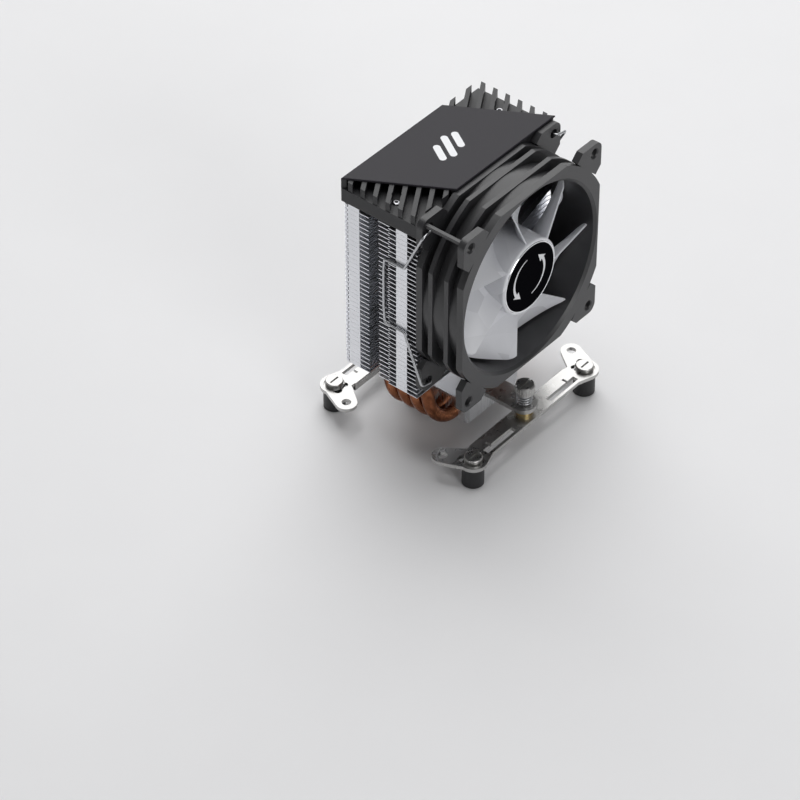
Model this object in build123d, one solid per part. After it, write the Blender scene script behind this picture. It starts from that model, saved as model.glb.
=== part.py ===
from build123d import *
import math
import os

# Tower cooler for a computer processor: one tower of fins on four heat pipes, with a 92 mm fan.
# Millimetres, +Z up. The origin is the centre of the base's contact face. The fan blows along +Y.

# base and heat pipes
base_x, base_y, base_z = 36.0, 38.0, 11.0
base_corner = 1.5
base_edge = 0.6
pipe_r = 3.0
pipe_axis_z = 2.7
pipe_pitch = 7.0
pipe_leg_x = 30.0
pipe_bend_r = 12.0
pipe_lean_r = 20.0
pipe_lean_z = 26.0
pipe_leg_shift = 7.0
pipe_top_z = 119.0
pipe_fit = 0.02

# fin stack
tower_y = 7.5
fin_x, fin_y = 90.2, 40.6
fin_bottom_z = 29.3
fin_pitch = 2.34
fin_count = 37
fin_t = 0.4
fin_corner = 2.4
tab_gap = 0.06
tab_rise = fin_pitch - tab_gap
fin_tabs_y = ((11.1, 17.1), (-14.7, -8.8))
seat_depth = 1.1
seat_front_y, seat_back_y = -4.5, 1.6
groove_depth = 8.0
groove_back_y = 6.0
lip_front_y = 17.6
lip_share = 0.7

# top cover
cover_x = 90.6
cover_front, cover_back = -20.0, 20.6
cover_floor_z = 122.4
cover_wall = 1.2
plate_t = 0.8
plate_step = 24.6
plate_overhang = 1.0
rib_t = 2.0
rib_h = 4.5
rib_spacing_y = 6.7
rib_slope = 0.615
rib_count = 16
rib_inset = 0.2
screw_boss_r = 2.9
screw_well_r, screw_well_depth = 2.1, 1.0
cover_screw_head_r, cover_screw_head_h = 1.75, 1.5
cover_screw_length = 4.5
thread_r = 1.25
thread_fit = 0.01
overlap = 0.2
plate_bevel = 0.25
cover_screw_x, cover_screw_y = 38.3, 3.4
mark_depth = 0.3
mark_width, mark_length = 3.2, 15.0
mark_spacing = 6.0

# fan
fan_size = 92.0
fan_depth = 25.0
fan_z = 80.3
fan_hole_half = 41.25
fan_hole_r = 2.15
duct_r = 44.0
duct_wall = 1.6
ring_corner_r = 51.0
ring_spans = ((0.0, 3.2), (6.5, 8.7), (14.9, 17.1), (21.7, 25.0))
ear_start = 29.5
ear_cut = 3.5
ear_round = 4.0
bridge_place, bridge_t = 43.75, 1.6
hub_r = 17.8
hub_front = 23.9
blade_count = 7
blade_tip_r = 42.7
blade_tip_round = 3.0
blade_first = -5.1
shaft_r = 1.5
shaft_clearance = 0.02

# motor, as distances in front of the fan's back face
seat_r = 18.6
tube_r = 4.3
sleeve_r = 3.1
tube_end = 19.4
sleeve_span = (3.4, 19.2)
board_span = (4.3, 5.3)
core_span = (7.2, 14.2)
rotor_span = (6.2, 21.4)
rotor_r = 16.2
rotor_wall = 0.8
magnet_span = (6.5, 16.5)
magnet_wall = 1.5
shaft_span = (2.2, 21.6)
retainer_span = (2.7, 3.1)
hub_back = 5.6
hub_round = 0.8
blade_root_r = 14.0
section_heights = (blade_root_r, 24.0, 34.0, 44.5)
blade_lead_depth, blade_trail_depth = 22.9, 8.6
mouth_depth, mouth_flare = 0.8, 1.6
hole_bevel = 0.5
seat_floor, seat_rim = 2.0, 4.2
seat_wall = 1.2
strut_count, strut_width, strut_depth = 4, 4.0, 3.4
strut_first = 20.0
notch_width = 4.2
ring_r = 16.7
label_r = 16.1

# wire clips
wire_r = 0.6
clip_arm_half = 17.3
clip_bar_half = 9.6

# mounting hardware
socket_half = 39.0
amd_x, amd_y = 45.0, 27.0
board_z = -7.5
ear_bottom_z, ear_top_z = 3.4, 5.2
rail_inner_y, rail_outer_y = 32.0, 42.6
bar_width, bar_t = 12.0, 2.0
bar_z = 8.0
spring_screw_y = 36.0
bar_screw_y = 15.6
screw_collar_z = 16.2
bush_top_z = 7.2
seat_recess = 0.7
head_r, head_h = 4.4, 4.5
knurl_count, knurl_r = 24, 0.3
shank_r, threaded_r = 1.95, 1.45
snap_z0, snap_z1 = 7.48, 7.82
snap_r, snap_groove_r = 3.6, 1.7
coil_r, coil_wire_r, coil_turns = 3.1, 0.4, 4.0
countersink_r, countersink_h = 2.9, 1.3
ear_lobe_r, amd_lobe_r, amd_hole_r = 6.3, 4.8, 2.1
window_x0, window_x1 = 12.0, 31.5
lip_t, lip_drop = 1.2, 2.4
bush_r, bush_flange_r = 3.0, 4.0
standoff_r, standoff_hole_r = 4.9, 1.6
corner_head_r, corner_head_top_z = 4.0, 7.4

cover_bottom_z = fin_bottom_z + fin_count * fin_pitch - tab_gap
plate_bottom_z = cover_floor_z + rib_h
plate_top_z = plate_bottom_z + plate_t
fan_back_y = tower_y - fin_y / 2
screw_seat_z = ear_top_z - seat_recess
pipe_ys = [(i - 1.5) * pipe_pitch for i in range(4)]


def block(x0, x1, y0, y1, z0, z1):
    """Box from its two opposite corners."""
    centre = ((x0 + x1) / 2, (y0 + y1) / 2, (z0 + z1) / 2)
    return Pos(*centre) * Box(x1 - x0, y1 - y0, z1 - z0)


def rod_z(x, y, z0, z1, r):
    """Upright cylinder."""
    return Pos(x, y, z0) * Cylinder(r, z1 - z0, align=(Align.CENTER, Align.CENTER, Align.MIN))


def fan_place(depth):
    """Plane whose +Z points to the front of the fan, at a distance in front of its back face."""
    origin = (0, fan_back_y - depth, fan_z)
    return Plane(origin=origin, x_dir=(1, 0, 0), z_dir=(0, -1, 0))


def fan_disc(r, d0, d1, x=0.0, z=0.0):
    """Cylinder on the fan's axis, or beside it, between two distances from the back face."""
    return extrude(fan_place(d0) * Pos(x, z) * Circle(r), d1 - d0)


def outline(points):
    """Flat face inside a closed outline of straight edges."""
    return make_face(Polyline(*points, close=True))


def mirrored_pair(shape):
    return [shape, mirror(shape, Plane.YZ)]


# ---------- fins ----------

def fin_outline():
    """Left half of a fin, with the clip's seat in its side, mirrored to a whole fin."""
    side, front, back = -fin_x / 2, -fin_y / 2, fin_y / 2
    seat = side + seat_depth
    bow = fin_corner * (1 - math.sqrt(0.5))
    with BuildLine() as half:
        Polyline((0, front), (side, front), (side, seat_front_y), (seat, seat_front_y),
                 (seat, seat_back_y), (side, seat_back_y), (side, back - fin_corner))
        ThreePointArc((side, back - fin_corner), (side + bow, back - bow), (side + fin_corner, back))
        Polyline((side + fin_corner, back), (0, back), (0, front))
    left = make_face(half.line)
    return left + mirror(left, Plane.YZ)


def fin_groove():
    """Deep round-ended groove behind the clip's seat, on the left side."""
    side = -fin_x / 2
    half = (groove_back_y - seat_back_y) / 2
    centre_x = side + groove_depth - half
    groove = block(side - 1, centre_x, seat_back_y, groove_back_y, -fin_t, 2 * fin_t)
    return groove + rod_z(centre_x, seat_back_y + half, -fin_t, 2 * fin_t, half)


def make_fins():
    """Stack of identical sheets; each stands off the one above by tabs turned up at its sides."""
    sheet = extrude(fin_outline(), fin_t)
    for x in (-pipe_leg_x, pipe_leg_x):
        for y in pipe_ys:
            leg = Pos(x, y + pipe_leg_shift - tower_y, 0)
            sheet -= leg * Cylinder(pipe_r + pipe_fit, 4 * fin_t)
    for groove in mirrored_pair(fin_groove()):
        sheet -= groove
    side, back = fin_x / 2, fin_y / 2
    for y0, y1 in fin_tabs_y:
        for tab in mirrored_pair(block(-side, -side + fin_t, y0, y1, 0, tab_rise)):
            sheet += tab
    # a lip turned up round each back corner, lower than the tabs
    centre = (-side + fin_corner, back - fin_corner)
    curl = Pos(*centre) * (Circle(fin_corner) - Circle(fin_corner - fin_t))
    quarter = Pos(centre[0] - fin_corner / 2, centre[1] + fin_corner / 2)
    curl = curl & quarter * Rectangle(fin_corner, fin_corner)
    lip = extrude(curl, tab_rise * lip_share)
    lip += block(-side, -side + fin_t, lip_front_y, centre[1], 0, tab_rise * lip_share)
    for side_lip in mirrored_pair(lip):
        sheet += side_lip
    return Compound([Pos(0, tower_y, fin_bottom_z + i * fin_pitch) * sheet for i in range(fin_count)])


# ---------- top cover ----------

def plate_face(front):
    """Outline of the slanted top plate, with its front edge at a chosen place."""
    hx = cover_x / 2
    left = [(-hx, cover_back), (-hx + plate_step, front)]
    return outline(left + [(hx, front), (hx - plate_step, cover_back)])


def cover_screw_places():
    return ((-cover_screw_x, -cover_screw_y), (cover_screw_x, cover_screw_y))


def make_cover():
    """Open-bottomed tray with slanting ribs, and a wall that carries the top plate's edges."""
    hx = cover_x / 2
    inner_x, inner_front, inner_back = hx - cover_wall, cover_front + cover_wall, cover_back - cover_wall
    body = block(-hx, hx, cover_front, cover_back, cover_bottom_z, cover_floor_z)
    body -= block(-inner_x, inner_x, inner_front, inner_back, cover_bottom_z, cover_floor_z - cover_wall)
    for x, y in cover_screw_places():
        body += rod_z(x, y, cover_bottom_z, cover_floor_z - cover_wall, screw_boss_r)
    angle = math.degrees(math.atan(rib_slope))
    tray = block(-hx + rib_inset, hx - rib_inset, cover_front + rib_inset, cover_back - rib_inset,
                 cover_floor_z - overlap, plate_bottom_z)
    for k in range(rib_count):
        offset = rib_spacing_y * (k + 0.5 - rib_count / 2)
        place = Pos(0, offset, (cover_floor_z - overlap + plate_bottom_z) / 2) * Rot(0, 0, angle)
        rib = place * Box(3 * hx, rib_t, rib_h + overlap) & tray
        if rib and rib.volume > 1:
            body += rib
    wall = extrude(Pos(0, 0, cover_floor_z - overlap) * plate_face(cover_front), rib_h + overlap)
    body += wall - block(-inner_x, inner_x, inner_front, inner_back, cover_floor_z - 1, plate_bottom_z + 1)
    for x, y in cover_screw_places():
        body -= rod_z(x, y, cover_floor_z - screw_well_depth, plate_bottom_z, screw_well_r)
        body -= rod_z(x, y, cover_bottom_z + 1.0, cover_floor_z, thread_r)
    return Pos(0, tower_y, 0) * body


def mark_bars(depth):
    """Three slanting bars: a plain decoration let into the top plate."""
    bars = []
    for k in (-1, 0, 1):
        place = Pos(k * mark_spacing, tower_y, plate_top_z - mark_depth) * Rot(0, 0, -31.6)
        shape = extrude(place * SlotOverall(mark_length - 4 * abs(k), mark_width, 90), depth)
        bars.append(shape)
    return bars


def make_top_plate():
    plate = extrude(Pos(0, tower_y, plate_bottom_z) * plate_face(cover_front - plate_overhang), plate_t)
    plate = chamfer(plate.faces().sort_by(Axis.Z)[-1].edges(), plate_bevel)
    for bar in mark_bars(1.0):
        plate -= bar
    return plate


def make_cover_screws():
    screws = []
    low = cover_floor_z - screw_well_depth
    top = low + cover_screw_head_h
    for x, y in cover_screw_places():
        head = rod_z(0, 0, low, top, cover_screw_head_r)
        head = fillet(head.faces().sort_by(Axis.Z)[-1].edges(), 0.6)
        head -= extrude(Pos(0, 0, top - 0.8) * RegularPolygon(0.9, 6), 1.0)
        shank = rod_z(0, 0, cover_floor_z - cover_screw_length, low, thread_r - thread_fit)
        screws.append(Pos(x, y + tower_y, 0) * (head + shank))
    return Compound(screws)


# ---------- heat pipes and base ----------

def make_pipe(y):
    """Pipe up both sides: its legs lean back from the base's row of channels to the fins' holes."""
    top = pipe_top_z - pipe_r
    leg_y = y + pipe_leg_shift
    path = FilletPolyline((-pipe_leg_x, leg_y, top), (-pipe_leg_x, leg_y, pipe_lean_z),
                          (-pipe_leg_x, y, pipe_axis_z), (pipe_leg_x, y, pipe_axis_z),
                          (pipe_leg_x, leg_y, pipe_lean_z), (pipe_leg_x, leg_y, top),
                          radius=[pipe_lean_r, pipe_bend_r, pipe_bend_r, pipe_lean_r])
    section = Plane(origin=(-pipe_leg_x, leg_y, top), z_dir=(0, 0, -1)) * Circle(pipe_r)
    pipe = sweep(section, path=path)
    for x in (-pipe_leg_x, pipe_leg_x):
        pipe += Pos(x, leg_y, top) * Sphere(pipe_r)
    # flat where it touches the processor
    return pipe - block(-pipe_leg_x, pipe_leg_x, y - 5, y + 5, -2, 0)


def make_base():
    hx, hy = base_x / 2, base_y / 2
    body = block(-hx, hx, -hy, hy, 0, base_z)
    body = chamfer(body.edges().filter_by(Axis.Z), base_corner)
    body = chamfer(body.faces().sort_by(Axis.Z)[-1].edges(), base_edge)
    for y in pipe_ys:
        body -= Pos(0, y, pipe_axis_z) * Rot(0, 90, 0) * Cylinder(pipe_r, 2 * base_x)
        body -= block(-hx, hx, y - 1.3, y + 1.3, -1, 1)
    body -= block(-bar_width / 2, bar_width / 2, -hy, hy, bar_z, base_z)
    for y in (-bar_screw_y, bar_screw_y):
        body -= rod_z(0, y, bar_z - 1.6, bar_z, thread_r)
    return body


def make_crossbar():
    """Steel bar through the base's channel, with a hole at each end for a spring screw."""
    reach = spring_screw_y + 5.5
    bar = block(-bar_width / 2, bar_width / 2, -reach, reach, bar_z, bar_z + bar_t)
    bar = fillet(bar.edges().filter_by(Axis.Z), 5.5)
    for y in (-spring_screw_y, spring_screw_y):
        bar -= rod_z(0, y, bar_z, bar_z + bar_t, 2.3)
    for y in (-bar_screw_y, bar_screw_y):
        bar -= rod_z(0, y, bar_z, bar_z + bar_t, 1.6)
        bar -= Pos(0, y, bar_z + bar_t - countersink_h / 2) * Cone(1.6, countersink_r, countersink_h)
    return bar


def make_bar_screws():
    """Countersunk screws that fix the bar to the base, with crossed slots."""
    screws = []
    top = bar_z + bar_t
    for y in (-bar_screw_y, bar_screw_y):
        head = Pos(0, y, top - countersink_h / 2) * Cone(1.55, countersink_r - 0.05, countersink_h)
        shank = rod_z(0, y, bar_z - 1.5, top - countersink_h, thread_r - thread_fit)
        slot = block(-3, 3, y - 0.35, y + 0.35, top - 0.6, top + 1)
        slot += block(-0.35, 0.35, y - 3, y + 3, top - 0.6, top + 1)
        screws.append(head + shank - slot)
    return Compound(screws)


# ---------- spring screws ----------

def make_spring_screw(y):
    """Thumb screw with a slotted head, a plain shank through the bar, and a threaded end."""
    top = screw_collar_z + head_h
    head = rod_z(0, y, screw_collar_z, top, head_r)
    head = chamfer(head.faces().sort_by(Axis.Z)[-1].edges(), 0.5)
    for i in range(knurl_count):
        turn = Pos(0, y, screw_collar_z + head_h / 2) * Rot(0, 0, i * 360.0 / knurl_count)
        head -= turn * Pos(head_r + 0.1, 0, 0) * Cylinder(knurl_r, head_h - 1.5)
    head -= block(-head_r - 1, head_r + 1, y - 0.6, y + 0.6, top - 1.3, top + 1)
    shank = rod_z(0, y, bush_top_z + 0.05, screw_collar_z, shank_r)
    thread = rod_z(0, y, ear_bottom_z + 0.6, bush_top_z + 0.05, threaded_r)
    groove = rod_z(0, y, snap_z0 - 0.03, snap_z1 + 0.03, shank_r + 0.5)
    groove -= rod_z(0, y, snap_z0 - 1, snap_z1 + 1, snap_groove_r)
    return head + shank + thread - groove


def make_springs():
    """One compression spring under each spring screw's head."""
    springs = []
    low = bar_z + bar_t + coil_wire_r + 0.05
    high = screw_collar_z - coil_wire_r - 0.05
    for y in (-spring_screw_y, spring_screw_y):
        coil = Pos(0, y, low) * Helix(pitch=(high - low) / coil_turns, height=high - low, radius=coil_r)
        section = Plane(origin=coil @ 0, z_dir=coil % 0) * Circle(coil_wire_r)
        springs.append(sweep(section, path=coil, is_frenet=True))
    return Compound(springs)


def make_retainer_ring(y):
    """Snap ring that keeps a spring screw in the bar."""
    ring = rod_z(0, y, snap_z0, snap_z1, snap_r)
    ring -= rod_z(0, y, snap_z0 - 1, snap_z1 + 1, snap_groove_r + 0.05)
    return ring - block(0, snap_r + 1, y - 1.2, y + 1.2, snap_z0 - 1, snap_z1 + 1)


# ---------- rails, standoffs and thumb screws ----------

def hull_tab(x0, y0, r0, x1, y1, r1):
    """Outline of a belt round two circles."""
    return make_hull((Pos(x0, y0) * Circle(r0)).edges() + (Pos(x1, y1) * Circle(r1)).edges())


def make_rail():
    """Back mounting rail; its ends carry the holes for two families of socket."""
    low, high = ear_bottom_z - 1, ear_top_z + 1
    middle = (rail_inner_y + rail_outer_y) / 2
    face = Pos(0, middle) * Rectangle(66.0, rail_outer_y - rail_inner_y)
    face += mirrored_pair(hull_tab(socket_half, socket_half, ear_lobe_r, 31, 37.4, 5.2))
    face += mirrored_pair(hull_tab(socket_half, socket_half - 1.5, ear_lobe_r - 0.2,
                                   amd_x, amd_y, amd_lobe_r))
    rail = extrude(Pos(0, 0, ear_bottom_z) * face, ear_top_z - ear_bottom_z)
    # openings of one end: the screw's slot with its notched far end, the recess for its head, the
    # round hole, the long window and the slit beside it
    cut = rod_z(socket_half, socket_half, low, high, 1.8)
    cut += rod_z(socket_half - 1.5, socket_half - 1.5, low, high, 1.8)
    cut += rod_z(socket_half + 2.4, socket_half - 4.0, low, high, 2.0)
    cut += rod_z(socket_half - 2.4, socket_half - 4.0, low, high, 1.5)
    cut += rod_z(socket_half, socket_half - 3.0, low, high, 2.1)
    cut += rod_z(socket_half, socket_half, screw_seat_z, high, corner_head_r + 0.7)
    cut += rod_z(amd_x, amd_y, low, high, amd_hole_r)
    cut += block(window_x0, window_x1, 38.4, 41.2, low, high)
    cut += block(26.2, 27.4, 36.0, 39.0, low, high)
    # stiffening lip turned down along the inner edge
    lip = block(8.5, 33.0, rail_inner_y, rail_inner_y + lip_t, ear_bottom_z - lip_drop, ear_bottom_z)
    for side_cut, side_lip in zip(mirrored_pair(cut), mirrored_pair(lip)):
        rail = rail - side_cut + side_lip
    return rail - rod_z(0, spring_screw_y, low, high, bush_r)


def make_bushes():
    """Threaded bushes riveted into the middle of each rail."""
    bushes = []
    for y in (-spring_screw_y, spring_screw_y):
        bush = rod_z(0, y, ear_bottom_z, ear_top_z, bush_r)
        bush += rod_z(0, y, ear_top_z, bush_top_z, bush_flange_r)
        bushes.append(bush - rod_z(0, y, ear_bottom_z - 1, bush_top_z + 1, threaded_r + 0.05))
    return Compound(bushes)


def corners():
    return [(-socket_half, socket_half), (socket_half, socket_half),
            (-socket_half, -socket_half), (socket_half, -socket_half)]


def make_standoffs():
    """Plastic sleeves between the board and the rails."""
    sleeves = []
    for x, y in corners():
        sleeve = rod_z(x, y, board_z, ear_bottom_z, standoff_r)
        sleeve = chamfer(sleeve.edges(), 0.4)
        sleeves.append(sleeve - rod_z(x, y, board_z - 1, ear_bottom_z + 1, standoff_hole_r))
    return Compound(sleeves)


def make_thumb_screw(x, y):
    """Flat slotted screw that holds a rail's corner on its standoff."""
    head = rod_z(x, y, screw_seat_z + 0.03, corner_head_top_z, corner_head_r)
    head = fillet(head.faces().sort_by(Axis.Z)[-1].edges(), 0.5)
    head -= block(x - 2.6, x + 2.6, y - 0.45, y + 0.45, corner_head_top_z - 0.7, corner_head_top_z + 1)
    return head + rod_z(x, y, board_z + 1.5, screw_seat_z + 0.03, 1.5)


# ---------- fan frame ----------

def ring_face():
    """Square with its corners cut back to a circle, open in the middle."""
    return Rectangle(fan_size, fan_size) & Circle(ring_corner_r)


def ear_face():
    """The four corner ears, each cut at 45 degrees where it leaves the ring."""
    far = fan_size / 2
    middle = (ear_start + far) / 2 - 2.0
    corner = outline([(far, far), (far, ear_start + ear_cut), (far - ear_cut, ear_start), (middle, middle),
                      (ear_start, far - ear_cut), (ear_start + ear_cut, far)])
    tip = corner.vertices().sort_by_distance((far, far))[0]
    corner = fillet(tip, ear_round)
    upper = [corner, mirror(corner, Plane.YZ)]
    return upper + [mirror(ear, Plane.XZ) for ear in upper]


def make_frame():
    frame = fan_disc(duct_r + duct_wall, 0, fan_depth)
    for i, (d0, d1) in enumerate(ring_spans):
        frame += extrude(fan_place(d0) * ring_face(), d1 - d0)
        if i in (0, 3):
            for ear in ear_face():
                frame += extrude(fan_place(d0) * ear, d1 - d0)
    # one corner has a bridge between its two ears, which guards the cable
    bridge = Pos(-bridge_place, bridge_place) * Rectangle(bridge_t, bridge_t)
    frame += extrude(fan_place(ring_spans[0][1]) * bridge, ring_spans[-1][0] - ring_spans[0][1])
    frame -= fan_disc(duct_r, -1, fan_depth + 1)
    # flared mouths
    mouth = Cone(duct_r - mouth_flare / 4, duct_r + mouth_flare * 3 / 4, mouth_flare + 0.01)
    frame -= fan_place(fan_depth - mouth_depth) * mouth
    frame -= fan_place(mouth_depth) * Rot(180, 0, 0) * mouth
    for x in (-fan_hole_half, fan_hole_half):
        for z in (-fan_hole_half, fan_hole_half):
            frame -= fan_disc(fan_hole_r, -1, fan_depth + 1, x, z)
            bevel = Cone(fan_hole_r, fan_hole_r + hole_bevel, hole_bevel)
            frame -= fan_place(fan_depth - hole_bevel / 2) * Pos(x, z) * bevel
    # motor seat, held by four struts
    for i in range(strut_count):
        turn = Rot(0, 0, strut_first + i * 360.0 / strut_count)
        strut = turn * Pos(duct_r / 2 + 4, 0) * Rectangle(duct_r - 6, strut_width)
        frame += extrude(fan_place(0) * strut, strut_depth) & fan_disc(duct_r + 0.5, 0, strut_depth)
    frame += fan_disc(seat_r, 0, seat_floor)
    frame += fan_disc(seat_r, seat_floor, seat_rim) - fan_disc(seat_r - seat_wall, 1.0, 5.0)
    frame += fan_disc(tube_r, 0, tube_end)
    frame -= fan_disc(sleeve_r, 1.2, tube_end + 1)
    # cable outlet: a notch through the rim beside the lowest strut
    notch = Rot(0, 0, -52) * Pos(seat_r, 0) * Rectangle(6.0, notch_width)
    frame -= extrude(fan_place(seat_floor) * notch, 3.0)
    notch = Rot(0, 0, -57) * Pos(duct_r + 3, 0) * Rectangle(12, notch_width)
    frame -= extrude(fan_place(-0.1) * notch, 2.4)
    return frame


def make_sleeve():
    sleeve = fan_disc(sleeve_r, *sleeve_span)
    sleeve = chamfer(sleeve.edges(), 0.25)
    return sleeve - fan_disc(shaft_r + shaft_clearance, 0, fan_depth)


def make_core():
    """Four-pole laminated core on the bearing tube."""
    d0, d1 = core_span
    core = fan_disc(6.4, d0, d1)
    for i in range(4):
        neck = Rot(0, 0, 45 + 90 * i) * Pos(8.5, 0) * Rectangle(8, 3.6)
        core += extrude(fan_place(d0) * neck, d1 - d0)
    shoes = fan_disc(13.2, d0, d1) - fan_disc(11.4, d0 - 1, d1 + 1)
    for i in range(4):
        gap = Rot(0, 0, 90 * i) * Pos(12, 0) * Rectangle(8, 4.4)
        shoes -= extrude(fan_place(d0 - 1) * gap, d1 - d0 + 2)
    return core + shoes - fan_disc(tube_r, 0, fan_depth)


def make_windings():
    d0, d1 = core_span
    coils = []
    for i in range(4):
        turn = Rot(0, 0, 45 + 90 * i) * Pos(8.9, 0)
        outer = extrude(fan_place(d0 - 1.0) * turn * RectangleRounded(3.8, 7.0, 1.2), d1 - d0 + 2)
        inner = extrude(fan_place(d0 - 0.0) * turn * Rectangle(8, 3.6), d1 - d0)
        coils.append(outer - inner)
    return Compound(coils)


def make_motor_board():
    board = fan_disc(14.5, *board_span) - fan_disc(tube_r + 0.1, 0, fan_depth)
    chip = extrude(fan_place(board_span[1]) * Pos(9, -3) * Rectangle(3, 4), 0.6)
    return board + chip


def make_rotor_cup():
    d0, d1 = rotor_span
    cup = fan_disc(rotor_r, d0, d1) - fan_disc(rotor_r - rotor_wall, d0 - 1, d1 - rotor_wall)
    return cup - fan_disc(shaft_r, 0, fan_depth)


def make_magnet():
    outer = rotor_r - rotor_wall
    return fan_disc(outer, *magnet_span) - fan_disc(outer - magnet_wall, 0, fan_depth)


def make_shaft():
    shaft = fan_disc(shaft_r, *shaft_span)
    groove = fan_disc(shaft_r + 1, *retainer_span) - fan_disc(shaft_r - 0.4, 0, 5)
    return shaft - groove


def make_retainer():
    return fan_disc(2.5, *retainer_span) - fan_disc(shaft_r - 0.4, 0, 5)


def blade_section(height):
    """Cambered section at a height along the blade, from its leading edge to its trailing edge."""
    lead, trail = blade_edges(height)
    run, rise = trail - lead, blade_trail_depth - blade_lead_depth
    length = math.hypot(run, rise)
    nx, ny = rise / length, -run / length
    t = 1.5 - 0.012 * height
    camber = 0.09 * length

    def at(s, off):
        return (lead + run * s - nx * off, blade_lead_depth + rise * s - ny * off)

    e = 0.3
    top = ThreePointArc(at(0, e), at(0.5, camber + t / 2), at(1, e))
    low = ThreePointArc(at(1, -e), at(0.5, camber - t / 2), at(0, -e))
    ends = [Line(at(1, e), at(1, -e)), Line(at(0, -e), at(0, e))]
    return make_face([top, ends[0], low, ends[1]])


def blade_edges(height):
    """Sideways reach of the two edges: the leading edge sweeps forward as the blade widens."""
    rise = height - 16.0
    return 2.2 + 0.60 * rise, -7.3 - 0.385 * rise


def blade_front():
    """Outline of a blade seen from the front, with its two tip corners rounded."""
    margin, reach = 0.1, blade_tip_r + 3
    sides = []
    for height in (blade_root_r, reach):
        lead, trail = blade_edges(height)
        sides.append(((-lead - margin, height), (-trail + margin, height)))
    (lead_low, trail_low), (lead_top, trail_top) = sides
    face = outline([lead_low, lead_top, trail_top, trail_low]) & Circle(blade_tip_r)
    tips = face.vertices().sort_by(Axis.Y)[-2:]
    return fillet(tips, blade_tip_round)


def make_blade(angle):
    """One blade, lofted outwards from inside the hub and trimmed to its front outline."""
    # in each section plane x is sideways and y is the distance in front of the back face
    centre = (0, fan_back_y, fan_z)
    sections = []
    for height in section_heights:
        plane = Plane(origin=(0, fan_back_y, fan_z + height), x_dir=(-1, 0, 0), z_dir=(0, 0, 1))
        sections.append(plane * blade_section(height))
    blade = loft(sections) & extrude(fan_place(2) * blade_front(), fan_depth - 2)
    blade -= fan_disc(hub_r - 1.2, 1, fan_depth + 1)
    return blade.rotate(Axis(centre, (0, -1, 0)), angle)


def make_impeller():
    hub = fan_disc(hub_r, hub_back, hub_front)
    hub = fillet(hub.faces().sort_by(Axis.Y)[0].edges(), hub_round)
    hub -= fan_disc(rotor_r, hub_back - 1, rotor_span[1])
    hub -= fan_disc(ring_r, hub_front - 0.5, hub_front + 1)
    hub -= fan_disc(shaft_r + 0.3, rotor_span[1] - 1, shaft_span[1] + 0.4)
    for i in range(blade_count):
        hub += make_blade(blade_first + i * 360.0 / blade_count)
    return hub


def make_hub_ring():
    ring = fan_disc(ring_r, hub_front - 0.5, hub_front + 0.25)
    ring = chamfer(ring.faces().sort_by(Axis.Y)[0].edges(), 0.2)
    return ring - fan_disc(label_r, 0, fan_depth + 1)


def make_hub_label():
    return fan_disc(label_r, hub_front - 0.5, hub_front - 0.1)


# ---------- wire clips ----------

def make_clip():
    """Left spring-wire clip: hooked in two ears of the fan, lying in the seat on the fins' side."""
    hook_x = -fan_hole_half
    hook_y = fan_back_y - ring_spans[0][1] - 1.6
    end_y = fan_back_y - 0.7
    side = -fin_x / 2 - wire_r - 0.2
    seat = side + seat_depth
    upper = [(hook_x, end_y, fan_hole_half), (hook_x, hook_y, fan_hole_half),
             (-47.7, hook_y, fan_hole_half - 1.4), (side, tower_y - 13.9, clip_arm_half),
             (side, tower_y - 3.3, clip_arm_half - 0.4), (seat, tower_y - 1.8, clip_bar_half)]
    points = [(x, y, fan_z + z) for x, y, z in upper]
    points += [(x, y, fan_z - z) for x, y, z in reversed(upper)]
    radii = [1.3, 1.6, 1.2, 1.2, 2.0, 2.0, 1.2, 1.2, 1.6, 1.3]
    path = FilletPolyline(*points, radius=radii)
    section = Plane(origin=path @ 0, z_dir=path % 0) * Circle(wire_r)
    return sweep(section, path=path, transition=Transition.ROUND)


# ---------- write every node ----------

rail_back = make_rail()
clip_left = make_clip()
nodes = {
    "fins": make_fins(),
    "top_cover": make_cover(),
    "top_plate": make_top_plate(),
    "plate_mark": Compound(mark_bars(mark_depth)),
    "cover_screws": make_cover_screws(),
    "base_block": make_base(),
    "crossbar": make_crossbar(),
    "crossbar_screws": make_bar_screws(),
    "spring_screw_front": make_spring_screw(-spring_screw_y),
    "spring_screw_back": make_spring_screw(spring_screw_y),
    "screw_springs": make_springs(),
    "snap_ring_front": make_retainer_ring(-spring_screw_y),
    "snap_ring_back": make_retainer_ring(spring_screw_y),
    "rail_back": rail_back,
    "rail_front": mirror(rail_back, Plane.XZ),
    "rail_bushes": make_bushes(),
    "standoffs": make_standoffs(),
    "fan_frame": make_frame(),
    "bearing_sleeve": make_sleeve(),
    "stator_core": make_core(),
    "stator_windings": make_windings(),
    "motor_board": make_motor_board(),
    "rotor_cup": make_rotor_cup(),
    "magnet_ring": make_magnet(),
    "shaft": make_shaft(),
    "shaft_retainer": make_retainer(),
    "impeller": make_impeller(),
    "hub_ring": make_hub_ring(),
    "hub_label": make_hub_label(),
    "clip_left": clip_left,
    "clip_right": mirror(clip_left, Plane.YZ),
}
for i, y in enumerate(pipe_ys):
    nodes[f"heat_pipe_{i + 1}"] = make_pipe(y)
for i, (x, y) in enumerate(corners()):
    nodes[f"thumb_screw_{i + 1}"] = make_thumb_screw(x, y)

os.makedirs("parts", exist_ok=True)
for name, shape in nodes.items():
    export_step(shape, f"parts/{name}.step")
    print(name, round(shape.volume, 1), len(shape.solids()))
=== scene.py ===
import math

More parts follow.
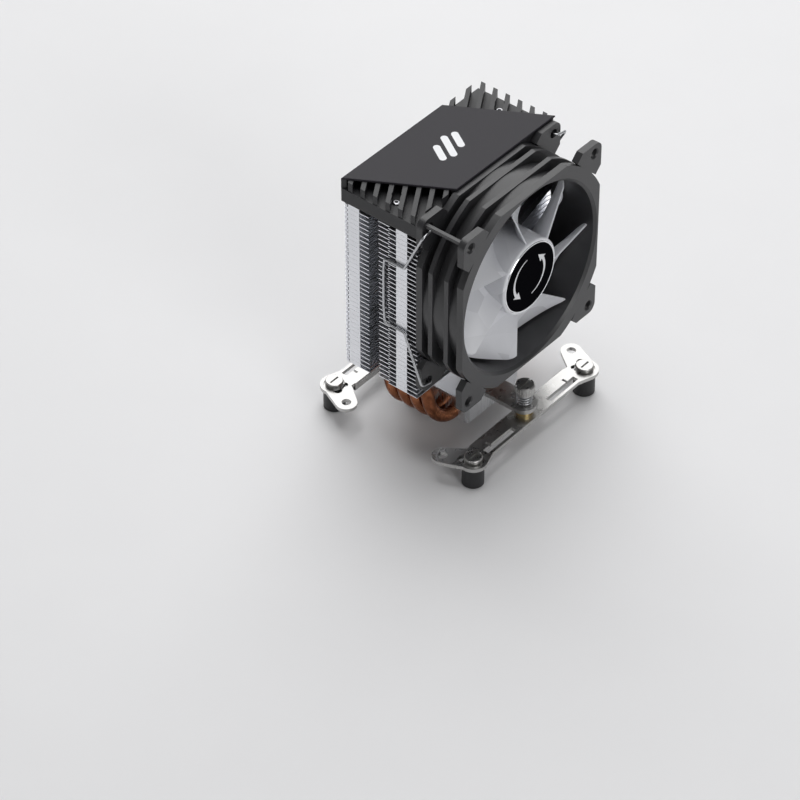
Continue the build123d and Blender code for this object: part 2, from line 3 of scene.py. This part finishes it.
import bmesh
import bpy
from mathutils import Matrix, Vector


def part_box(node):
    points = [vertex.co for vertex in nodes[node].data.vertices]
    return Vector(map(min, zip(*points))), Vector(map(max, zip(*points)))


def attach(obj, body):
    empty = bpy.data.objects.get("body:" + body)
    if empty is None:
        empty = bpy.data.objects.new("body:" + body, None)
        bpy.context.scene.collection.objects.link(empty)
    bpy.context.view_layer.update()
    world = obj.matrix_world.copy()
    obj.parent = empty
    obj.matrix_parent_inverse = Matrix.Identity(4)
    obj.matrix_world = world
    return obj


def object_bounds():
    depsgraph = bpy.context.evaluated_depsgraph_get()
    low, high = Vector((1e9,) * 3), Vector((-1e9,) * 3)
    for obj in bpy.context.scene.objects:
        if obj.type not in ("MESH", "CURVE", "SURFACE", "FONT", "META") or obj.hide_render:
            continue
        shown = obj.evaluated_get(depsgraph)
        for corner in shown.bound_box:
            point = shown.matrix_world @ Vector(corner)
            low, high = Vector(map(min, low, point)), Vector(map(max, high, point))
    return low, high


# Looks for a tower cooler: the frame holds its parts, and each one gets its finish here.

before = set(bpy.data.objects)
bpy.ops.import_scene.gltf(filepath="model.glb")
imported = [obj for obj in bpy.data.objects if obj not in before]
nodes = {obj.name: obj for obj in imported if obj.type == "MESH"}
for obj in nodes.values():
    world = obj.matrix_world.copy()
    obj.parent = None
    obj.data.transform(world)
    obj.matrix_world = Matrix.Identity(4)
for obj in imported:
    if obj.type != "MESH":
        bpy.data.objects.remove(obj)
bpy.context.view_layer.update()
mm = 0.001
print("frame loaded:", len(nodes), "nodes")


class Flow:  # a socket that takes part in sums, so that shader maths reads like ordinary maths
    def __init__(self, finish, socket):
        self.finish = finish
        self.socket = socket

    def sum(self, operation, first, second):
        return self.finish.add("ShaderNodeMath", {"operation": operation}, {0: first, 1: second})

    def __add__(self, other):
        return self.sum("ADD", self, other)

    def __radd__(self, other):
        return self.sum("ADD", other, self)

    def __sub__(self, other):
        return self.sum("SUBTRACT", self, other)

    def __rsub__(self, other):
        return self.sum("SUBTRACT", other, self)

    def __mul__(self, other):
        return self.sum("MULTIPLY", self, other)

    def __rmul__(self, other):
        return self.sum("MULTIPLY", other, self)


class Finish:  # one material, with the nodes that vary it over the surface
    def __init__(self, name, colour, rough, metal=0.0, **fixed):
        self.material = bpy.data.materials.new(name)
        self.material.use_nodes = True
        self.tree = self.material.node_tree
        self.shader = self.tree.nodes["Principled BSDF"]
        self.put("Base Color", colour)
        self.put("Roughness", rough)
        self.put("Metallic", metal)
        for label, value in fixed.items():
            self.put(label.replace("_", " "), value)

    def feed(self, socket, value):
        if isinstance(value, Flow):
            self.tree.links.new(value.socket, socket)
        elif socket.type == "RGBA":
            socket.default_value = (*value, 1.0)
        else:
            socket.default_value = value

    def put(self, label, value):
        self.feed(self.shader.inputs[label], value)

    def add(self, kind, settings=None, sockets=None, output=0):  # any node: its settings come first
        node = self.tree.nodes.new(kind)
        for name, value in (settings or {}).items():
            if name == "stops":
                while len(node.color_ramp.elements) < len(value):
                    node.color_ramp.elements.new(0.5)
                for stop, (place, level) in zip(node.color_ramp.elements, value):
                    stop.position = place
                    stop.color = (level, level, level, 1.0)
            else:
                setattr(node, name, value)
        for name, value in (sockets or {}).items():
            self.feed(node.inputs[name], value)
        return Flow(self, node.outputs[output])

    def place(self, stretch=(1.0, 1.0, 1.0)):  # the surface point in millimetres, squeezed along each axis
        point = self.add("ShaderNodeTexCoord", output="Object")
        return self.add("ShaderNodeVectorMath", {"operation": "MULTIPLY"},
                        {0: point, 1: tuple(s / mm for s in stretch)})

    def grain(self, size, stretch=(1.0, 1.0, 1.0), detail=2.0):  # soft noise with lumps of that size in mm
        return self.add("ShaderNodeTexNoise", {"noise_dimensions": "3D"},
                        {"Vector": self.place(stretch), "Scale": 1.0 / size, "Detail": detail})

    def ramp(self, value, *stops):
        return self.add("ShaderNodeValToRGB", {"stops": stops}, {0: value})

    def mix(self, share, low, high):  # colours, where share 0 gives low and share 1 gives high
        return self.add("ShaderNodeMix", {"data_type": "RGBA"}, {0: share, 6: low, 7: high}, 2)

    def dent(self, height, depth):  # depth in millimetres
        normal = self.add("ShaderNodeBump", {}, {"Height": height, "Distance": depth * mm, "Strength": 1.0})
        self.put("Normal", normal)

    def wear(self, *names):  # put the finish on whole CAD nodes
        for name in names:
            for spot in nodes[name].material_slots:
                spot.material = self.material
            nodes[name].data.materials[0] = self.material


def shade(colour, factor):
    return tuple(c * factor for c in colour)


# rolled and drawn metals: sizes and dents are in millimetres, dark and light are shares of the colour

finSheet = {"colour": (0.80, 0.81, 0.84), "dark": 0.86, "light": 1.1, "rough": 0.2, "streakRough": 0.16,
            "cloudRough": 0.12, "streakLength": 26.0, "streakWidth": 0.35, "cloudSize": 9.0, "dent": 0.012}


def makeFins():
    tone = finSheet["colour"]
    finish = Finish("finAluminium", tone, finSheet["rough"], 1.0)
    across = 1.0 / finSheet["streakWidth"]
    along = 1.0 / finSheet["streakLength"]
    streaks = finish.grain(1.0, (along, along, across), 3.0)
    clouds = finish.grain(finSheet["cloudSize"])
    dark, light = shade(tone, finSheet["dark"]), shade(tone, finSheet["light"])
    finish.put("Base Color", finish.mix(streaks, dark, light))
    finish.put("Roughness", finSheet["rough"] + finSheet["streakRough"] * streaks
               + finSheet["cloudRough"] * clouds)
    finish.dent(streaks, finSheet["dent"])
    finish.wear("fins")


pipeCopper = {"bright": (0.42, 0.165, 0.08), "dull": (0.10, 0.034, 0.018), "rough": 0.2, "stainRough": 0.16,
              "lineRough": 0.08, "stainSize": 7.0, "stainFrom": 0.35, "stainTo": 0.72, "lineSize": 0.5,
              "dent": 0.01}


def makePipes():
    finish = Finish("pipeCopper", pipeCopper["bright"], pipeCopper["rough"], 1.0)
    blots = finish.grain(pipeCopper["stainSize"], (1.0, 1.0, 1.0), 4.0)
    stains = finish.ramp(blots, (pipeCopper["stainFrom"], 0.0), (pipeCopper["stainTo"], 1.0))
    drawn = finish.grain(pipeCopper["lineSize"], (0.12, 1.0, 0.12))
    finish.put("Base Color", finish.mix(stains, pipeCopper["bright"], pipeCopper["dull"]))
    finish.put("Roughness", pipeCopper["rough"] + pipeCopper["stainRough"] * stains
               + pipeCopper["lineRough"] * drawn)
    finish.dent(drawn, pipeCopper["dent"])
    finish.wear("heat_pipe_1", "heat_pipe_2", "heat_pipe_3", "heat_pipe_4")


platedSteel = {"colour": (0.52, 0.515, 0.505), "rough": 0.18, "rippleRough": 0.16, "pitRough": 0.06,
               "rippleSize": 3.5, "pitSize": 0.35, "dent": 0.05}


def makePlatedSteel():
    finish = Finish("nickelPlate", platedSteel["colour"], platedSteel["rough"], 1.0)
    ripple = finish.grain(platedSteel["rippleSize"])
    pits = finish.grain(platedSteel["pitSize"])
    finish.put("Roughness", platedSteel["rough"] + platedSteel["rippleRough"] * ripple
               + platedSteel["pitRough"] * pits)
    finish.dent(ripple * 0.6 + pits * 0.1, platedSteel["dent"])  # the ripple counts for more than the pits
    finish.wear("rail_back", "rail_front", "crossbar", "spring_screw_front", "spring_screw_back",
                "thumb_screw_1", "thumb_screw_2", "thumb_screw_3", "thumb_screw_4")


springWire = {"colour": (0.60, 0.61, 0.63), "dark": 0.7, "rough": 0.2, "scratchRough": 0.2,
              "scratchSize": 0.25}


def makeSpringWire():
    tone = springWire["colour"]
    finish = Finish("drawnWire", tone, springWire["rough"], 1.0)
    scratch = finish.grain(springWire["scratchSize"], (1.0, 0.25, 0.25))
    finish.put("Roughness", springWire["rough"] + springWire["scratchRough"] * scratch)
    finish.put("Base Color", finish.mix(scratch, shade(tone, springWire["dark"]), tone))
    finish.wear("clip_left", "clip_right", "screw_springs", "snap_ring_front", "snap_ring_back")


milledBase = {"colour": (0.76, 0.77, 0.79), "rough": 0.18, "arcRough": 0.12, "patchRough": 0.12,
              "arcSpread": 1.35, "patchSize": 5.0, "dent": 0.008}


def makeBase():
    finish = Finish("milledAluminium", milledBase["colour"], milledBase["rough"], 1.0)
    arcs = finish.add("ShaderNodeTexWave", {"wave_type": "RINGS", "rings_direction": "Z"},
                      {"Vector": finish.place(), "Scale": 1.0 / milledBase["arcSpread"],
                       "Distortion": 0.3, "Detail": 1.0}, "Fac")
    patches = finish.grain(milledBase["patchSize"])
    finish.put("Roughness", milledBase["rough"] + milledBase["arcRough"] * arcs
               + milledBase["patchRough"] * patches)
    finish.dent(arcs, milledBase["dent"])
    finish.wear("base_block")


smallSteel = {"colour": (0.50, 0.50, 0.52), "rough": 0.18, "blushRough": 0.22, "blushSize": 0.8}


def makeSmallSteel():
    finish = Finish("zincScrew", smallSteel["colour"], smallSteel["rough"], 1.0)
    blush = finish.grain(smallSteel["blushSize"])
    finish.put("Roughness", smallSteel["rough"] + smallSteel["blushRough"] * blush)
    finish.wear("cover_screws", "crossbar_screws", "shaft")


bushMetal = {"colour": (0.78, 0.61, 0.30), "dark": 0.8, "rough": 0.2, "ringRough": 0.2, "toolStep": 0.2}


def makeBushes():
    tone = bushMetal["colour"]
    finish = Finish("turnedBrass", tone, bushMetal["rough"], 1.0)
    rings = finish.grain(bushMetal["toolStep"], (0.05, 0.05, 1.0))
    finish.put("Roughness", bushMetal["rough"] + bushMetal["ringRough"] * rings)
    finish.put("Base Color", finish.mix(rings, shade(tone, bushMetal["dark"]), tone))
    finish.wear("rail_bushes")


# painted and moulded parts

coverPaint = {"colour": (0.020, 0.020, 0.022), "dark": 0.85, "light": 1.2, "rough": 0.36, "hazeRough": 0.1,
              "peelRough": 0.06, "gloss": 0.45, "orangePeel": 0.5, "hazeSize": 12.0, "dent": 0.012}


def makeCover():
    tone = coverPaint["colour"]
    finish = Finish("coverPaint", tone, coverPaint["rough"], Specular_IOR_Level=coverPaint["gloss"])
    peel = finish.grain(coverPaint["orangePeel"], (1.0, 1.0, 1.0), 3.0)
    haze = finish.grain(coverPaint["hazeSize"])
    dark, light = shade(tone, coverPaint["dark"]), shade(tone, coverPaint["light"])
    finish.put("Base Color", finish.mix(haze, dark, light))
    finish.put("Roughness", coverPaint["rough"] + coverPaint["hazeRough"] * haze
               + coverPaint["peelRough"] * peel)
    finish.dent(peel, coverPaint["dent"])
    finish.wear("top_cover")


topPlate = {"colour": (0.026, 0.0245, 0.0295), "dark": 0.9, "light": 1.12, "rough": 0.34, "blastRough": 0.1,
            "hazeRough": 0.06, "gloss": 0.16, "blastGrain": 0.22, "hazeSize": 16.0, "dent": 0.01}


def makeTopPlate():
    tone = topPlate["colour"]
    finish = Finish("anodisedPlate", tone, topPlate["rough"], Specular_IOR_Level=topPlate["gloss"])
    blast = finish.grain(topPlate["blastGrain"], (1.0, 1.0, 1.0), 3.0)
    haze = finish.grain(topPlate["hazeSize"])
    finish.put("Base Color", finish.mix(haze, shade(tone, topPlate["dark"]), shade(tone, topPlate["light"])))
    finish.put("Roughness", topPlate["rough"] + topPlate["blastRough"] * blast + topPlate["hazeRough"] * haze)
    finish.dent(blast, topPlate["dent"])
    finish.wear("top_plate")


plateInlay = {"colour": (0.80, 0.81, 0.83), "dark": 0.92, "rough": 0.3, "grainRough": 0.15, "grainSize": 0.4}


def makeInlay():
    tone = plateInlay["colour"]
    finish = Finish("whiteInlay", tone, plateInlay["rough"])
    grain = finish.grain(plateInlay["grainSize"])
    finish.put("Base Color", finish.mix(grain, shade(tone, plateInlay["dark"]), tone))
    finish.put("Roughness", plateInlay["rough"] + plateInlay["grainRough"] * grain)
    finish.wear("plate_mark")
    return finish


framePlastic = {"colour": (0.026, 0.026, 0.028), "dark": 0.85, "light": 1.3, "rough": 0.3, "sparkRough": 0.12,
                "flowRough": 0.08, "gloss": 0.6, "spark": 0.28, "flowSize": 14.0, "dent": 0.02}


def makeFrame():
    tone = framePlastic["colour"]
    finish = Finish("mouldedFrame", tone, framePlastic["rough"], Specular_IOR_Level=framePlastic["gloss"])
    spark = finish.grain(framePlastic["spark"], (1.0, 1.0, 1.0), 3.0)  # spark-eroded mould texture
    flowLines = finish.grain(framePlastic["flowSize"], (1.0, 0.3, 1.0), 3.0)
    dark, light = shade(tone, framePlastic["dark"]), shade(tone, framePlastic["light"])
    finish.put("Base Color", finish.mix(flowLines, dark, light))
    finish.put("Roughness", framePlastic["rough"] + framePlastic["sparkRough"] * spark
               + framePlastic["flowRough"] * flowLines)
    finish.dent(spark, framePlastic["dent"])
    finish.wear("fan_frame")


standoffPlastic = {"colour": (0.014, 0.014, 0.015), "rough": 0.38, "grainRough": 0.2, "grainSize": 0.3,
                   "dent": 0.015}


def makeStandoffs():
    finish = Finish("mouldedStandoff", standoffPlastic["colour"], standoffPlastic["rough"])
    grain = finish.grain(standoffPlastic["grainSize"])
    finish.put("Roughness", standoffPlastic["rough"] + standoffPlastic["grainRough"] * grain)
    finish.dent(grain, standoffPlastic["dent"])
    finish.wear("standoffs", "shaft_retainer")


bladePlastic = {"colour": (0.80, 0.81, 0.85), "dark": 0.8, "light": 1.12, "rough": 0.24, "fineRough": 0.1,
                "cloudRough": 0.08, "milk": 0.2, "cloudSize": 9.0, "fineSize": 0.5, "facetShadeSize": 13.0,
                "facetShadeFade": 0.35}


def makeBlades():
    tone = bladePlastic["colour"]
    finish = Finish("milkyBlade", tone, bladePlastic["rough"], Subsurface_Weight=bladePlastic["milk"],
                    Subsurface_Radius=(0.003, 0.003, 0.003), Subsurface_Scale=1.0)
    cloud = finish.grain(bladePlastic["cloudSize"])
    fine = finish.grain(bladePlastic["fineSize"])
    paintedFacetShade = finish.add("ShaderNodeTexVoronoi", {"feature": "F1"},  # painted shade: lighter and darker patches stand in for the shading of facets; the blades stay smooth
                        {"Vector": finish.place(), "Scale": 1.0 / bladePlastic["facetShadeSize"]}, "Color")
    facetShadedTone = finish.mix(paintedFacetShade, shade(tone, bladePlastic["dark"]), shade(tone, bladePlastic["light"]))
    # the painted facet shade fades towards the plain tone where the clouds are strong
    finish.put("Base Color", finish.mix(bladePlastic["facetShadeFade"] * cloud, facetShadedTone, tone))
    finish.put("Roughness", bladePlastic["rough"] + bladePlastic["fineRough"] * fine
               + bladePlastic["cloudRough"] * cloud)
    finish.wear("impeller")


# hub and motor

hubLabel = {"colour": (0.004, 0.004, 0.005), "rough": 0.17, "smearRough": 0.1, "gloss": 0.0, "smearSize": 6.0}


def makeLabel():
    finish = Finish("glossLabel", hubLabel["colour"], hubLabel["rough"], Specular_IOR_Level=hubLabel["gloss"])
    smear = finish.grain(hubLabel["smearSize"])
    finish.put("Roughness", hubLabel["rough"] + hubLabel["smearRough"] * smear)
    finish.wear("hub_label")


labelRing = {"colour": (0.80, 0.81, 0.83), "rough": 0.1, "turnedRough": 0.12, "toolStep": 0.3}


def makeRing():
    finish = Finish("polishedRing", labelRing["colour"], labelRing["rough"], 1.0)
    turned = finish.grain(labelRing["toolStep"])
    finish.put("Roughness", labelRing["rough"] + labelRing["turnedRough"] * turned)
    finish.wear("hub_ring")


# each motor part: its finish, colour, roughness, how metallic it is, and the stretch of its grain
motorTones = {
    "rotor_cup": ("drawnCup", (0.50, 0.51, 0.53), 0.3, 1.0, (1.0, 0.1, 1.0)),
    "magnet_ring": ("bondedFerrite", (0.05, 0.05, 0.055), 0.7, 0.0, (1.0, 1.0, 1.0)),
    "stator_core": ("laminations", (0.36, 0.37, 0.39), 0.4, 1.0, (0.05, 1.0, 0.05)),
    "stator_windings": ("enamelledWire", (0.66, 0.30, 0.14), 0.25, 1.0, (1.0, 0.2, 1.0)),
    "motor_board": ("solderMask", (0.02, 0.14, 0.06), 0.3, 0.0, (1.0, 1.0, 1.0)),
    "bearing_sleeve": ("sinteredBronze", (0.60, 0.44, 0.26), 0.45, 1.0, (1.0, 1.0, 1.0)),
}
motorGrain = {"size": 0.3, "dark": 0.75, "light": 1.1, "rough": 0.1, "dent": 0.02}


def makeMotor():
    for name, (title, tone, rough, metal, stretch) in motorTones.items():
        finish = Finish(title, tone, rough, metal)
        grain = finish.grain(motorGrain["size"], stretch, 3.0)
        dark, light = shade(tone, motorGrain["dark"]), shade(tone, motorGrain["light"])
        finish.put("Base Color", finish.mix(grain, dark, light))
        finish.put("Roughness", rough + 2 * motorGrain["rough"] * grain - motorGrain["rough"])
        finish.dent(grain, motorGrain["dent"])
        finish.wear(name)


# turning arrows on the hub label, in place of printed words

turnMark = {"starts": (100.0, 280.0), "radius": 10.2, "width": 1.5, "tail": 0.25, "sweep": 110.0,
            "height": 0.05, "headWidth": 4.0, "headSweep": 26.0, "barbBack": 2.0, "steps": 24}


def turnArrow(start, finish):
    # a flat arc that narrows towards its tail and ends in an arrowhead, with a little thickness
    low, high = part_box("hub_label")
    middle = (low + high) / 2
    front = low.y
    arc = bmesh.new()

    def spot(radius, degrees, lift):
        turn = math.radians(degrees)
        return arc.verts.new((middle.x + radius * mm * math.cos(turn), front - lift,
                              middle.z + radius * mm * math.sin(turn)))

    inner, outer = [], []
    radius, sweep = turnMark["radius"], turnMark["sweep"]
    lift = turnMark["height"] * mm
    for i in range(turnMark["steps"] + 1):
        share = i / turnMark["steps"]
        half = turnMark["width"] / 2 * (turnMark["tail"] + (1 - turnMark["tail"]) * share)
        inner.append(spot(radius - half, start + share * sweep, lift))
        outer.append(spot(radius + half, start + share * sweep, lift))
    for i in range(turnMark["steps"]):
        arc.faces.new((inner[i], inner[i + 1], outer[i + 1], outer[i]))
    wing = turnMark["headWidth"] / 2
    tip = spot(radius, start + sweep + turnMark["headSweep"], lift)
    barb = start + sweep - turnMark["barbBack"]
    barbs = [spot(radius - wing, barb, lift), spot(radius + wing, barb, lift)]
    arc.faces.new((barbs[0], inner[-1], tip))
    arc.faces.new((inner[-1], outer[-1], tip))
    arc.faces.new((outer[-1], barbs[1], tip))
    bmesh.ops.recalc_face_normals(arc, faces=arc.faces)
    solid = bmesh.ops.extrude_face_region(arc, geom=arc.faces[:])
    moved = [e for e in solid["geom"] if isinstance(e, bmesh.types.BMVert)]
    bmesh.ops.translate(arc, verts=moved, vec=(0.0, lift, 0.0))
    bmesh.ops.recalc_face_normals(arc, faces=arc.faces)
    mesh = bpy.data.meshes.new("turnArrow")
    arc.to_mesh(mesh)
    arc.free()
    piece = bpy.data.objects.new("turn_arrow", mesh)
    bpy.context.scene.collection.objects.link(piece)
    mesh.materials.append(finish.material)
    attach(piece, "rotor")


studio = {
    "floor": 6.0, "floorTone": (0.78, 0.78, 0.79), "floorRough": 0.7, "dust": 40.0,
    "dark": 0.985, "light": 1.01,
    "sky": (1.0, 1.0, 1.0), "skyPower": 0.2,
}
# each lamp: where it hangs, its width and height, and its power; every lamp faces the middle of the model
lamps = {
    "overhead": ((0.2, 0.15, 1.4), (1.0, 1.0), 11.0),
    "backPanel": ((1.05, 0.95, 1.05), (2.0, 1.4), 17.0),
    "frontPanel": ((-0.5, -1.7, 0.8), (0.9, 0.7), 9.0),
}
cameraSetup = {"place": (-0.96045, -0.76299, 1.06021), "tilt": 48.922, "turn": -50.313, "lens": 166.1}


def makeStage():
    scene = bpy.context.scene
    low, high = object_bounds()
    half = studio["floor"] / 2
    mesh = bpy.data.meshes.new("floor")
    mesh.from_pydata([(-half, -half, low.z), (half, -half, low.z), (half, half, low.z),
                      (-half, half, low.z)], [], [(0, 1, 2, 3)])
    floor = bpy.data.objects.new("floor", mesh)
    scene.collection.objects.link(floor)
    tone = studio["floorTone"]
    finish = Finish("paleFloor", tone, studio["floorRough"])
    dust = finish.grain(studio["dust"])
    finish.put("Base Color", finish.mix(dust, shade(tone, studio["dark"]), shade(tone, studio["light"])))
    mesh.materials.append(finish.material)

    world = bpy.data.worlds.new("softSky")
    world.use_nodes = True
    sky = world.node_tree.nodes["Background"]
    sky.inputs["Color"].default_value = (*studio["sky"], 1.0)
    sky.inputs["Strength"].default_value = studio["skyPower"]
    scene.world = world

    centre = Vector((0.0, 0.0, (low.z + high.z) / 2))
    for name, (place, size, power) in lamps.items():
        data = bpy.data.lights.new(name, "AREA")
        data.shape = "RECTANGLE"
        data.size, data.size_y = size
        data.energy = power
        lamp = bpy.data.objects.new(name, data)
        lamp.location = place
        lamp.rotation_euler = (centre - Vector(place)).to_track_quat("-Z", "Y").to_euler()
        scene.collection.objects.link(lamp)

    data = bpy.data.cameras.new("camera")
    data.lens = cameraSetup["lens"]
    data.clip_end = 20.0
    camera = bpy.data.objects.new("camera", data)
    camera.location = cameraSetup["place"]
    camera.rotation_euler = (math.radians(cameraSetup["tilt"]), 0.0, math.radians(cameraSetup["turn"]))
    scene.collection.objects.link(camera)
    scene.camera = camera
    scene.view_settings.view_transform = "Standard"


makeStage()
print("stage set")
for make in (makeFins, makePipes, makePlatedSteel, makeSpringWire, makeBase, makeSmallSteel, makeBushes):
    make()
print("metals done")
for make in (makeCover, makeTopPlate, makeFrame, makeStandoffs, makeBlades, makeLabel, makeRing, makeMotor):
    make()
print("painted and moulded parts done")
inlay = makeInlay()
for start in turnMark["starts"]:
    turnArrow(start, inlay)
print("label mark done")
